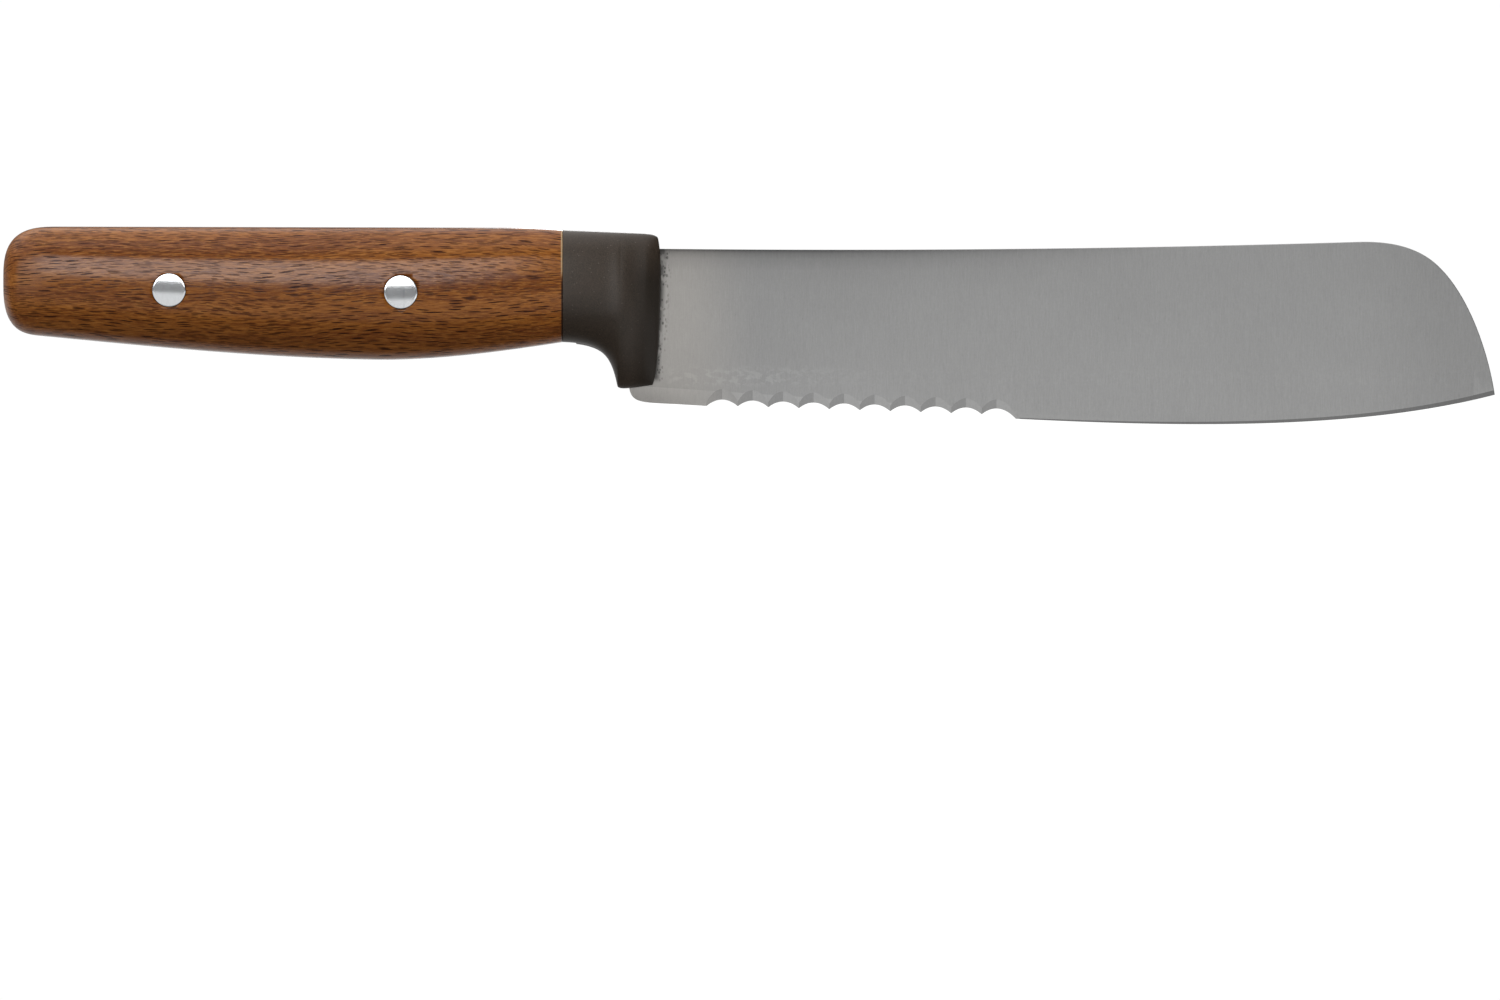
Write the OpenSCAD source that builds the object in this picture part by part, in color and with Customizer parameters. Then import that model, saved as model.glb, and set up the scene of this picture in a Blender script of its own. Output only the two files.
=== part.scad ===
// Bread knife with a riveted wooden handle and a moulded bolster, in millimetres.
//
// The knife lies along X with its tip at +X, its spine up (+Z) and its edge down. Y is its
// thickness, and the steel's middle plane is y = 0. The right-hand side, where the scallops
// are ground, is -Y. Outlines are drawn in the XZ plane with x = 0 at the butt and z = 0 on
// the spine line at the bolster, and place() then moves the knife's centre to the origin.

/* [Handle] */
// Length of the wooden handle, from the butt to the bolster
handle_len = 120; // [112:1:128]
// Height of the handle's top edge above the spine line, at the butt
handle_rise = 4.8; // [4:0.1:6]
// Depth of the handle's underside below the spine line, at the butt
butt_depth = 17.9; // [16:0.1:19]
// Depth of the palm swell below the spine line
palm_depth = 23.8; // [22:0.1:25]
// Depth of the handle's underside below the spine line, at the bolster
neck_depth = 20; // [19:0.1:21]
// Distance of the palm swell's lowest point from the butt
palm_x = 82; // [76:1:88]
// Thickness of the handle at the butt
butt_w = 16.5; // [14:0.5:19]
// Greatest thickness of the handle
palm_w = 19; // [16:0.5:22]
// Thickness of the handle and bolster where they meet
neck_w = 14.4; // [12:0.2:16]
// Roundness of the handle's section: 2 is an ellipse, and larger is squarer
squareness = 2.5; // [2.1:0.1:3.5]

/* [Bolster] */
// Length of the bolster along the top, from the wood to its front edge
bolster_len = 21; // [19:0.5:23]
// Depth of the finger guard below the spine line
guard_depth = 30; // [28.5:0.1:30.5]
// Thickness of the bolster just behind its rounded front edge
front_w = 9.2; // [7:0.2:12]
// Length of the rounded front edge
front_round = 3; // [1.5:0.5:5]
// Diameter of the two holes in the steel that lock the bolster on
lock_d = 5; // [3:0.5:6]

/* [Blade] */
// Length of the blade, from the bolster to the tip
blade_len = 179; // [165:1:195]
// Thickness of the steel at the tang and at the spine
stock = 2; // [1.6:0.1:2.4]
// Depth of the belly of the edge below the spine line
belly_depth = 38.5; // [37.8:0.1:39.5]
// Rise of the spine towards the tip
crown = 1.5; // [0.5:0.1:2.5]
// Depth of the tip below the spine line
tip_depth = 31.3; // [28.3:0.5:33.3]
// Slope of the main grind on each side, in degrees
grind_angle = 1.4; // [1.2:0.05:1.4]

/* [Edge] */
// Thickness left at the edge where the bevel meets it
edge_t = 0.06; // [0.04:0.01:0.12]
// Slope of the edge bevel on each side, in degrees
bevel_angle = 2.9; // [2.4:0.1:3.2]
// Number of scallops
scallops = 10; // [4:1:10]
// Distance from one scallop to the next
scallop_pitch = 6.54; // [5.5:0.02:6.6]
// Radius of the round wheel face that grinds a scallop
scallop_r = 19.5; // [16:0.5:26]
// Slope of a scallop's floor to the blade, in degrees
scallop_angle = 9; // [8.5:0.5:12]
// Width of the honed facet along the plain edge, at its start
hone_start = 0.25; // [0.1:0.05:0.4]
// Width of the honed facet at the tip
hone_tip = 1; // [0.4:0.1:1.2]

/* [Rivets] */
// Diameter of a rivet's head
head_d = 7.1; // [6:0.1:8]
// Diameter of the hollow half's tube
tube_d = 5; // [4.5:0.1:5.5]
// Diameter of the solid half's stem
stem_d = 3.2; // [2.5:0.1:3.5]
// Distance of the rear rivet from the butt
rear_rivet_x = 35.8; // [30:0.1:42]
// Distance of the front rivet from the butt
front_rivet_x = 85.4; // [78:0.1:92]
// Depth of the rear rivet below the spine line
rear_rivet_depth = 8.9; // [8:0.1:11]
// Depth of the front rivet below the spine line
front_rivet_depth = 9.3; // [8:0.1:11]

/* [Hidden] */
$fn = 64;

bolster_x = handle_len + bolster_len;
overall_len = bolster_x + blade_len;
half_stock = stock / 2;
rear_rivet = [rear_rivet_x, -rear_rivet_depth];
front_rivet = [front_rivet_x, -front_rivet_depth];

// Level on the butt that its two rounded corners share
butt_mid = -6.8;
// Lengths of the rounded corners at the butt: above, below and across the thickness
butt_top_round = 12;
butt_low_round = 8;
butt_side_round = 4;
// The top edge falls a little along its length, and then dips to meet the bolster
top_fall = 0.3;
neck_dip = 0.5;
neck_dip_len = 12;
// Stations along the handle, points round half its section, and stations along the bolster
handle_steps = 34;
section_steps = 18;
bolster_steps = 12;

// Lowest point that the edge reaches, and the middle of the knife's height
lowest = 37.5 + (belly_depth - 38.5) * 0.75;
mid_z = (handle_rise - lowest) / 2;

// The steel's own cover inside the bolster, and where its full thickness ends
cover = 1.8;
plunge_x = handle_len + 6;
// Each side of the steel is this much thicker inside the bolster, so that the ground flat
// is one face that ends at the bolster, and this far in front of it
seat_step = 0.02;
seat_gap = 0.1;

// Edge line of the serrated stretch: its two ends, and the first valley
serration_start = [bolster_x + 9.7, -33.7];
plain_start = [bolster_x + 77, -36.5];
first_valley = [bolster_x + 13.2, -32.35];
valley_fall = 0.0326;
// Direction of the bevel: its level lines fall by this angle towards the tip
bevel_run = 2;

// Working clearances round a rivet, on the radius
head_clearance = 0.1;
tube_clearance = 0.1;
stem_clearance = 0.02;
// A head's inner face, from the middle plane, and the gap left at each shank's end
head_seat = 6;
shank_gap = 0.2;

// A box larger than the knife, for cutting planes
big = 400;

// Point at t on a cubic Bezier curve with control points p
function bezier(p, t) =
    pow(1 - t, 3) * p[0] + 3 * pow(1 - t, 2) * t * p[1] + 3 * (1 - t) * t * t * p[2] + t * t * t * p[3];

// The curve as n steps, without its first point when first is 1
function bezier_path(p, n, first = 0) = [for (i = [first:n]) bezier(p, i / n)];

function lerp(a, b, t) = a + (b - a) * t;

function reversed(list) = [for (i = [len(list) - 1:-1:0]) list[i]];

// Rounded end: 0 at distance 0, and 1 from distance r on
function end_round(d, r) = d >= r ? 1 : pow(1 - pow(1 - max(d, 0) / r, 3), 1 / 3);

// The handle's top edge, before the butt is rounded
function top_line(x) =
    handle_rise - top_fall * x / handle_len
    - neck_dip * pow(max(0, x - handle_len + neck_dip_len) / neck_dip_len, 2);

// The handle's underside, before the butt is rounded
function low_line(x) =
    x < palm_x
    ? bezier([-butt_depth, -lerp(butt_depth, palm_depth, 0.44), -palm_depth + 0.3, -palm_depth], x / palm_x)
    : bezier([-palm_depth, -palm_depth + 0.1, -neck_depth - 1.95, -neck_depth],
             (x - palm_x) / (handle_len - palm_x));

function handle_top(x) = butt_mid + (top_line(x) - butt_mid) * end_round(x, butt_top_round);

function handle_low(x) = butt_mid + (low_line(x) - butt_mid) * end_round(x, butt_low_round);

// Half the handle's thickness: fullest at 45% of its length, and rounded at the butt
fullest_x = 0.45 * handle_len;
function handle_half(x) =
    let (end_w = x < fullest_x ? butt_w : neck_w,
         span = x < fullest_x ? fullest_x : handle_len - fullest_x,
         full = lerp(palm_w, end_w, pow(abs(x - fullest_x) / span, 2)) / 2)
    full * end_round(x, butt_side_round);

// Stations along the handle, closer together round the butt
handle_start = 0.02;
function handle_x(i) = lerp(handle_start, handle_len, pow(i / handle_steps, 1.8));

// Unit superellipse at angle a: how far out from the middle plane, and how far up
function out_part(a) = pow(abs(cos(a)), 2 / squareness);
function up_part(a) = sign(sin(a)) * pow(abs(sin(a)), 2 / squareness);

// Angle of point j of a half section, from the top edge round to the underside
function section_angle(j) = 90 - 180 * j / section_steps;

// One side of the handle's section at x, starting from the steel at the top edge
function handle_section(x) =
    let (top = handle_top(x), low = handle_low(x), half = max(handle_half(x), half_stock + 0.01))
    [for (j = [0:section_steps])
        [x,
         lerp(half_stock, half, out_part(section_angle(j))),
         lerp(low, top, (1 + up_part(section_angle(j))) / 2)]];

// The bolster's outline: underside of the finger curve, then the finger guard's end
finger_curve = [[handle_len, -neck_depth], [handle_len + 8, -neck_depth - 0.3],
                [bolster_x - 10.8, -neck_depth - 2], [bolster_x - 9.3, -guard_depth + 0.6]];
guard_end = [[bolster_x - 9.3, -guard_depth + 0.6], [bolster_x - 9, -guard_depth - 0.3],
             [bolster_x - 7, -guard_depth], [bolster_x - 1.8, -guard_depth + 0.8]];
// Stations are closer together towards the front edge, which is rounded
function eased(t) = 1 - pow(1 - t, 2);
bolster_low = concat(bezier_path(finger_curve, bolster_steps),
                     [for (i = [1:bolster_steps]) bezier(guard_end, eased(i / bolster_steps))]);
top_reach = bolster_len - 0.7;
low_reach = bolster_len - 1.8;

// How far along the bolster station i is, from 0 at the wood to 1 at the front
function along(i) = (bolster_low[i][0] - handle_len) / low_reach;

// The bolster's top edge, with a rounded corner at the front
function bolster_top(u) = [handle_len + top_reach * u, top_line(handle_len) - 0.85 * u - 0.6 * pow(u, 24)];

// Bulge of the front edge between its top (s = 0) and its bottom (s = 1)
function front_bulge(s) = 1.1 * pow(max(0, 1 - pow(abs(2 * s - 1), 3)), 0.7);

// Point of the bolster's side outline at station i, a part s of the way down
function bolster_point(i, s) =
    lerp(bolster_top(along(i)), bolster_low[i], s) + [front_bulge(s) * pow(along(i), 4), 0];

// Half the bolster's thickness a part u of the way along, before its front is rounded. It
// narrows towards the front, but for an upright ridge where the finger guard begins
narrowing = 1.25;
ridge_at = 0.63;
ridge_spread = 0.1;
ridge_rise = 0.35;
function ridge(u) = ridge_rise * exp(-pow((u - ridge_at) / ridge_spread, 2));
function bolster_half(u) = lerp(neck_w, front_w, pow(u, narrowing)) / 2 + ridge(u);

// Rounding of the front edge: 1 up to the rounded stretch, and 0 at the very front
round_from = 1 - front_round / bolster_len;
function front_rounding(u) = sqrt(1 - pow(max(0, u - round_from) / (1 - round_from), 2));

// The finger guard is thinner towards its end
guard_thinning = 0.3;
function guard_part(u, z) = 1 - guard_thinning * min(1, 2 * u) * min(1, max(0, -z - 14) / 15);

// Lip that the bolster keeps on the steel at its front
lip = 0.6;

// One side of the bolster's section at station i, from the top edge to the underside
function bolster_section(i) =
    let (u = along(i))
    [for (j = [0:section_steps])
        let (p = bolster_point(i, (1 - up_part(section_angle(j))) / 2),
             front_half = half_stock + lip,
             half = lerp(front_half, bolster_half(u) * guard_part(u, p[1]), front_rounding(u)))
        [p[0], lerp(half_stock, half, out_part(section_angle(j))), p[1]]];

last_station = len(bolster_low) - 1;

// The line on the blade where its ground flat begins: the bolster's outline, with a gap
seat_line = concat([for (j = [0:24]) bolster_point(last_station, j / 24) + [seat_gap, 0]],
                   [for (p = reversed(bezier_path(guard_end, 12, 1))) p + [0, -seat_gap]]);

// The blade's outline, in stretches that run from the bolster over the spine to the heel
spine_curve = [[bolster_x, 0], [bolster_x + 0.27 * blade_len, -0.5],
               [bolster_x + 0.54 * blade_len, -0.1], [overall_len - 29.5, crown]];
tip_shoulder = [overall_len - 11.8, crown - 5.55];
nose_curve = [[overall_len - 29.5, crown], [overall_len - 22, crown + 0.25],
              [overall_len - 16, crown - 1.25], tip_shoulder];
tip_curve = [tip_shoulder, tip_shoulder + [6.4, -6.35],
             [overall_len - 1.4, -tip_depth + 9.1], [overall_len, -tip_depth]];
belly_curve = [plain_start, [plain_start[0] + 38, -belly_depth + 0.1],
               [overall_len - 28, -belly_depth - 0.1], [overall_len, -tip_depth]];
heel_curve = [[bolster_x + 3, -33.3], [bolster_x - 4.5, -33],
              [bolster_x - 5.8, -32.8], [bolster_x - 6.6, -30.6]];
// Inside the bolster, the steel's rear edge follows the finger curve at a distance
hidden_curve = [[bolster_x - 6.9, -29], [bolster_x - 8.2, -neck_depth - 3],
                [bolster_x - 11, -neck_depth + cover], [handle_len, -neck_depth + cover]];

tang_top = [for (i = [0:handle_steps]) [handle_x(i), handle_top(handle_x(i))]];
tang_low = [for (i = [0:handle_steps]) [handle_x(i), handle_low(handle_x(i))]];

blade_outline = concat(
    tang_top, [[handle_len, 0]], bezier_path(spine_curve, 24),
    bezier_path(nose_curve, 12, 1), bezier_path(tip_curve, 16, 1),
    reversed(bezier_path(belly_curve, 40)), [serration_start],
    bezier_path(heel_curve, 10), bezier_path(hidden_curve, 12), reversed(tang_low));

// Half the steel's thickness on the edge bevel, at a point of the outline
function bevel_half(x, z) =
    edge_t / 2 + tan(bevel_angle) * ((z - plain_start[1]) + tan(bevel_run) * (x - plain_start[0]));

// Half the steel's thickness on the main grind
function grind_half(z) = half_stock - tan(grind_angle) * (crown - z);

function ground_half(x, z) = min(bevel_half(x, z), grind_half(z));

// Moves the drawing's centre to the origin
module place() {
    translate([-overall_len / 2, 0, -mid_z]) children();
}

// A flat shape in the XZ plane, given thickness about y = 0
module plate(thickness) {
    rotate([90, 0, 0]) linear_extrude(thickness, center = true) children();
}

// A cylinder across the knife, centred on the outline's point x, z
module cross_pin(x, z, d, y0, y1) {
    translate([x, y1, z]) rotate([90, 0, 0]) cylinder(d = d, h = y1 - y0);
}

// Does the same thing to both sides of the knife
module both_sides() {
    children();
    mirror([0, 1, 0]) children();
}

// Everything on the -Y side of a plane through x, -half, z that leans in by slope degrees
// and whose level lines fall by run degrees
module outside_plane(x, half, z, slope, run = 0) {
    translate([x, -half, z]) rotate([0, run, 0]) rotate([slope, 0, 0])
        translate([-big, -big, -big / 2]) cube([2 * big, big, big]);
}

// What the main grind and the edge bevel remove from one side, less an extra thickness
module grind(extra = 0) {
    outside_plane(0, half_stock + extra, crown, grind_angle);
    outside_plane(plain_start[0], edge_t / 2 + extra, plain_start[1], bevel_angle, bevel_run);
}

// The blade in front of the bolster and below its guard
module open_blade_area() {
    polygon(concat([[bolster_x, 30]], seat_line,
                   [[handle_len, -60], [overall_len + 10, -60], [overall_len + 10, 30]]));
}

// The ground steel that the bolster covers
module covered_area() {
    difference() {
        translate([plunge_x, -60]) square([bolster_len, 90]);
        open_blade_area();
    }
}

// What the wheel removes for scallop i, whose floor rises from the far side of the edge
module scallop(i) {
    x = first_valley[0] + i * scallop_pitch;
    z = first_valley[1] - i * scallop_pitch * valley_fall;
    translate([x, bevel_half(x, z), z]) rotate([scallop_angle, 0, 0])
        translate([0, -scallop_r, -9]) cylinder(r = scallop_r, h = 24);
}

// The three corners of the honed facet's cutter at part t of the plain edge
function hone_section(t) =
    let (p = bezier(belly_curve, t),
         d = bezier(belly_curve, t + 0.001) - bezier(belly_curve, t - 0.001),
         n = [-d[1], d[0]] / norm(d),
         width = lerp(hone_start, hone_tip, t),
         inner = p + n * width,
         outer_y = -edge_t / 4,
         inner_y = -ground_half(inner[0], inner[1]),
         slope = (inner_y - outer_y) / width,
         past = p - n,
         beyond = p + n * (width + 0.4))
    [[past[0], outer_y - slope, past[1]],
     [beyond[0], outer_y + slope * (width + 0.4), beyond[1]],
     [past[0], outer_y - 2, past[1]]];

// The honed facet's cutter on the -Y side, swept along the plain edge
module hone() {
    steps = 36;
    points = [for (i = [0:steps]) each hone_section(lerp(-0.01, 1.02, i / steps))];
    sides = [for (i = [0:steps - 1], k = [0:2])
        let (a = 3 * i + k, b = 3 * i + (k + 1) % 3)
        each [[a, b, a + 3], [b, b + 3, a + 3]]];
    last = 3 * steps;
    polyhedron(points, concat([[2, 1, 0]], sides, [[last, last + 1, last + 2]]));
}

module blade_solid() {
    difference() {
        plate(stock) polygon(blade_outline);
        both_sides() intersection() {
            plate(4 * stock) open_blade_area();
            grind();
        }
        both_sides() intersection() {
            plate(4 * stock) covered_area();
            grind(seat_step);
        }
        for (i = [0:scallops - 1]) scallop(i);
        both_sides() hone();
        for (z = [-5, -13]) cross_pin(plunge_x + 1, z, lock_d, -stock, stock);
        for (p = [rear_rivet, front_rivet])
            cross_pin(p[0], p[1], tube_d + 2 * tube_clearance, -stock, stock);
    }
}

// Skin between the rows of a grid of points, where each row holds n points
function grid_faces(rows, n, closed) =
    [for (i = [0:rows - 2], j = [0:n - (closed ? 1 : 2)])
        let (a = i * n + j, b = i * n + (j + 1) % n)
        each [[a, b, a + n], [b, b + n, a + n]]];

// The wood of one side, +Y, before it is drilled
module scale_blank() {
    n = section_steps + 1;
    rows = handle_steps + 1;
    points = [for (i = [0:handle_steps]) each handle_section(handle_x(i))];
    inner = [for (i = [0:rows - 2]) [i * n, (i + 1) * n, (i + 1) * n + n - 1, i * n + n - 1]];
    butt = [for (j = [n - 1:-1:0]) j];
    front = [for (j = [0:n - 1]) (rows - 1) * n + j];
    polyhedron(points, concat(grid_faces(rows, n, false), inner, [butt, front]));
}

// The +Y scale, drilled for both rivets' shanks and heads
module scale_solid() {
    difference() {
        scale_blank();
        for (p = [rear_rivet, front_rivet]) {
            cross_pin(p[0], p[1], tube_d + 2 * tube_clearance, 0, head_seat + 1);
            cross_pin(p[0], p[1], head_d + 2 * head_clearance, head_seat, palm_w);
        }
    }
}

// The bolster's outer form, before the steel is cut from it
module bolster_form() {
    n = 2 * (section_steps + 1);
    points = [for (i = [0:last_station])
        let (side = bolster_section(i))
        each concat(side, [for (p = reversed(side)) [p[0], -p[1], p[2]]])];
    rear = [for (j = [n - 1:-1:0]) j];
    front = last_station * n;
    strips = [for (j = [0:section_steps - 1])
        [front + j, front + j + 1, front + n - 2 - j, front + n - 1 - j]];
    polyhedron(points, concat(grid_faces(last_station + 1, n, true), [rear], strips));
}

// A rivet's head on the +Y side: a round plug, ground flush with the wood
module rivet_head(p) {
    intersection() {
        scale_blank();
        cross_pin(p[0], p[1], head_d, head_seat, palm_w);
    }
}

// The solid half of a rivet, with its head on the right-hand side
module rivet_stem(p) {
    mirror([0, 1, 0]) rivet_head(p);
    cross_pin(p[0], p[1], stem_d, -head_seat - 0.5, head_seat - shank_gap);
}

// The hollow half of a rivet, with its head on the left-hand side
module rivet_tube(p) {
    difference() {
        union() {
            rivet_head(p);
            cross_pin(p[0], p[1], tube_d, -head_seat + shank_gap, head_seat + 0.5);
        }
        cross_pin(p[0], p[1], stem_d + 2 * stem_clearance, -head_seat, head_seat);
    }
}

// Flat-ground steel blade and full tang in one piece
module blade() {
    color([0.62, 0.62, 0.61]) place() blade_solid();
}

// Plastic bolster moulded round the steel, and through its two locking holes
module bolster() {
    color([0.23, 0.20, 0.18]) place() difference() {
        bolster_form();
        blade_solid();
    }
}

// Stained beech scale on the -Y side
module right_scale() {
    color([0.50, 0.29, 0.14]) place() mirror([0, 1, 0]) scale_solid();
}

// Stained beech scale on the +Y side
module left_scale() {
    color([0.50, 0.29, 0.14]) place() scale_solid();
}

// Aluminium cutler's rivets, each a solid half pressed into a hollow half
module rear_rivet_stem() {
    color([0.82, 0.83, 0.84]) place() rivet_stem(rear_rivet);
}

module rear_rivet_tube() {
    color([0.82, 0.83, 0.84]) place() rivet_tube(rear_rivet);
}

module front_rivet_stem() {
    color([0.82, 0.83, 0.84]) place() rivet_stem(front_rivet);
}

module front_rivet_tube() {
    color([0.82, 0.83, 0.84]) place() rivet_tube(front_rivet);
}

blade();
bolster();
right_scale();
left_scale();
rear_rivet_stem();
rear_rivet_tube();
front_rivet_stem();
front_rivet_tube();
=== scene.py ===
"""Looks of a bread knife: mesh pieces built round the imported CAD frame, in a plain pale studio.

Pieces are drawn in millimetres, in the same drawing frame as the CAD part: x from the butt along
the knife, y through its thickness (the right-hand side is -Y), and z up from the spine line at
the bolster. placed() turns drawn points into metres in the shared frame.
"""

import math

import bmesh
import bpy
import numpy as np
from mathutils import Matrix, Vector


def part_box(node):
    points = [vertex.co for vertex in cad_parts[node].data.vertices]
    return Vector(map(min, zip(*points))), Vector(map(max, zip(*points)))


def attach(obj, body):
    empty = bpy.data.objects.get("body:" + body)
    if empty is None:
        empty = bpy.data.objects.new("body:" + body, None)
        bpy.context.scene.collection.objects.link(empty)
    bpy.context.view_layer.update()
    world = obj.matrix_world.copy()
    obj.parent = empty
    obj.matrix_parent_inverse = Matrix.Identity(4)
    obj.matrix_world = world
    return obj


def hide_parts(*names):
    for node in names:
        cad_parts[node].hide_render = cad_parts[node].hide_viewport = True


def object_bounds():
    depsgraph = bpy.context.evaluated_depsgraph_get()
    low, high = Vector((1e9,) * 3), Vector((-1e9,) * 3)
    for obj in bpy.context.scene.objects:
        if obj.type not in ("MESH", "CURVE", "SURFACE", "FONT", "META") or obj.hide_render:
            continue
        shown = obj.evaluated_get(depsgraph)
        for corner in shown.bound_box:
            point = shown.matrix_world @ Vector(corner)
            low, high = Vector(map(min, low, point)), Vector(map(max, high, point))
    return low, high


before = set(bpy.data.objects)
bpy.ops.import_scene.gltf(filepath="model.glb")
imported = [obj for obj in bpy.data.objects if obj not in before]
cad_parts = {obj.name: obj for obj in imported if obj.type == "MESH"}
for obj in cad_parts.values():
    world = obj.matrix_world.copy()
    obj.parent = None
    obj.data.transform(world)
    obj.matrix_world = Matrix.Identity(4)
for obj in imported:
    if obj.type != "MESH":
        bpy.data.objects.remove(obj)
cad_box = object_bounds()

MM = 0.001

# Driving dimensions in millimetres, the same as the CAD part's. Depths are below the spine line
# Handle
HANDLE_LEN = 120.0
HANDLE_RISE = 4.8
BUTT_DEPTH = 17.9
PALM_DEPTH = 23.8
NECK_DEPTH = 20.0
PALM_X = 82.0
BUTT_W = 16.5
PALM_W = 19.0
NECK_W = 14.4
SQUARENESS = 2.5
BUTT_MID = -6.8
BUTT_TOP_ROUND = 12.0
BUTT_LOW_ROUND = 8.0
BUTT_SIDE_ROUND = 4.0
TOP_FALL = 0.3
NECK_DIP = 0.5
NECK_DIP_LEN = 12.0
FULLEST_X = 0.45 * HANDLE_LEN

# Bolster
BOLSTER_LEN = 21.0
BOLSTER_X = HANDLE_LEN + BOLSTER_LEN
GUARD_DEPTH = 30.0
FRONT_W = 9.2
FRONT_ROUND = 3.0
TOP_REACH = BOLSTER_LEN - 0.7
LOW_REACH = BOLSTER_LEN - 1.8
TOP_TAPER = 0.85
CORNER_DROP = 0.6
CORNER_POWER = 24
FRONT_BULGE = 1.1
NARROWING = 1.25
RIDGE_AT = 0.63
RIDGE_SPREAD = 0.1
RIDGE_RISE = 0.35
GUARD_THINNING = 0.3
THIN_FROM = 14
THIN_OVER = 15
LIP = 0.6

# Blade
BLADE_LEN = 179.0
TIP_X = BOLSTER_X + BLADE_LEN
HALF_STOCK = 1.0
BELLY_DEPTH = 38.5
CROWN = 1.5
TIP_DEPTH = 31.3
GRIND = math.tan(math.radians(1.4))
STEEL_COVER = 1.8
PLUNGE_X = HANDLE_LEN + 6
LOCK_D = 5.0
LOCK_X = PLUNGE_X + 1
LOCK_DEPTHS = (5.0, 13.0)

# Edge
EDGE_HALF = 0.03
BEVEL = math.tan(math.radians(2.9))
BEVEL_RUN = math.tan(math.radians(2))
SERRATION_START = (BOLSTER_X + 9.7, -33.7)
PLAIN_START = (BOLSTER_X + 77, -36.5)
SCALLOPS = 10
SCALLOP_PITCH = 6.54
SCALLOP_R = 19.5
SCALLOP_ANGLE = math.radians(9)
FIRST_VALLEY = (BOLSTER_X + 13.2, -32.35)
VALLEY_FALL = 0.0326
HONE_START = 0.25
HONE_TIP = 1.0

# Rivets
HEAD_R = 3.55
TUBE_R = 2.5
STEM_R = 1.6
HEAD_GAP = 0.1
STEM_GAP = 0.02
HEAD_SEAT = 6.0
SHANK_GAP = 0.2
# How far a head's bore in the wood is off the rivet's own axis, in x and z
BORE_SHIFT = (0.02, -0.03)

# Small roundings and seams that a finished knife has
SPINE_ROUND = 0.12
SEAM = 0.12
RIM_ROUND = 0.09
# Height of the mould flash under the bolster, and where it starts and fades out
FLASH = 0.22
FLASH_START = (HANDLE_LEN + 2.82, HANDLE_LEN + 2.95)
FLASH_FADE = (HANDLE_LEN + 6, HANDLE_LEN + 11)
# HAIR parts rows of points that stand close together, and points closer than MERGE become one
HAIR = 0.02
MERGE = 1e-4

TANG_SPINE = HANDLE_RISE - TOP_FALL - NECK_DIP
origin = Vector((
    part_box("bolster")[0].x - HANDLE_LEN * MM,
    0.0,
    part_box("bolster")[1].z - TANG_SPINE * MM,
))


def placed(points):
    """Drawn points, in millimetres, as points of the shared frame, in metres."""
    return np.asarray(points, float) * MM + np.array(origin)


def drawn_centre(node):
    """Centre of a CAD node's box, as drawn x and z."""
    low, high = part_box(node)
    middle = ((low + high) / 2 - origin) / MM
    return middle.x, middle.z


# ---------------------------------------------------------------- outlines


def lerp(a, b, t):
    """From a at t = 0 to b at t = 1."""
    return a + (b - a) * t


def smooth_step(value, start, end):
    """Smooth change from 0 to 1 as value goes from start to end."""
    t = np.clip((value - start) / (end - start), 0, 1)
    return t * t * (3 - 2 * t)


def bezier(points, t):
    """Points at t on a cubic Bezier curve whose control points are numbers or pairs."""
    p = np.asarray(points, float)
    t = np.asarray(t, float)
    if p.ndim == 2:
        t = t[..., None]
    return (1 - t) ** 3 * p[0] + 3 * (1 - t) ** 2 * t * p[1] + 3 * (1 - t) * t * t * p[2] + t**3 * p[3]


def path(points, steps):
    """The cubic Bezier curve as evenly spaced steps of its parameter."""
    return bezier(points, np.linspace(0, 1, steps + 1))


def end_round(distance, length):
    """Rounded end: 0 at distance 0, and 1 from length on."""
    d = np.clip(np.asarray(distance, float) / length, 0, 1)
    return (1 - (1 - d) ** 3) ** (1 / 3)


def top_line(x):
    """The handle's top edge, before the butt is rounded."""
    dip = np.maximum(0, x - HANDLE_LEN + NECK_DIP_LEN) / NECK_DIP_LEN
    return HANDLE_RISE - TOP_FALL * x / HANDLE_LEN - NECK_DIP * dip**2


def low_line(x):
    """The handle's underside, before the butt is rounded."""
    rear = [-BUTT_DEPTH, -lerp(BUTT_DEPTH, PALM_DEPTH, 0.44), -PALM_DEPTH + 0.3, -PALM_DEPTH]
    front = [-PALM_DEPTH, -PALM_DEPTH + 0.1, -NECK_DEPTH - 1.95, -NECK_DEPTH]
    forward = (x - PALM_X) / (HANDLE_LEN - PALM_X)
    return np.where(x < PALM_X, bezier(rear, x / PALM_X), bezier(front, forward))


def handle_top(x):
    """The handle's top edge, with the butt rounded."""
    return BUTT_MID + (top_line(x) - BUTT_MID) * end_round(x, BUTT_TOP_ROUND)


def handle_low(x):
    """The handle's underside, with the butt rounded."""
    return BUTT_MID + (low_line(x) - BUTT_MID) * end_round(x, BUTT_LOW_ROUND)


def handle_half(x):
    """Half the handle's thickness, fullest at FULLEST_X and rounded at the butt."""
    x = np.asarray(x, float)
    rear = x < FULLEST_X
    span = np.where(rear, FULLEST_X, HANDLE_LEN - FULLEST_X)
    width = lerp(PALM_W, np.where(rear, BUTT_W, NECK_W), (np.abs(x - FULLEST_X) / span) ** 2)
    return np.maximum(width / 2 * end_round(x, BUTT_SIDE_ROUND), HALF_STOCK + 0.01)


def handle_side(x, z):
    """How far the handle's surface stands from the middle plane at x, z."""
    top, low = handle_top(x), handle_low(x)
    up = np.abs(np.clip(2 * (z - low) / (top - low) - 1, -1, 1))
    return lerp(HALF_STOCK, handle_half(x), (1 - up**SQUARENESS) ** (1 / SQUARENESS))


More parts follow.
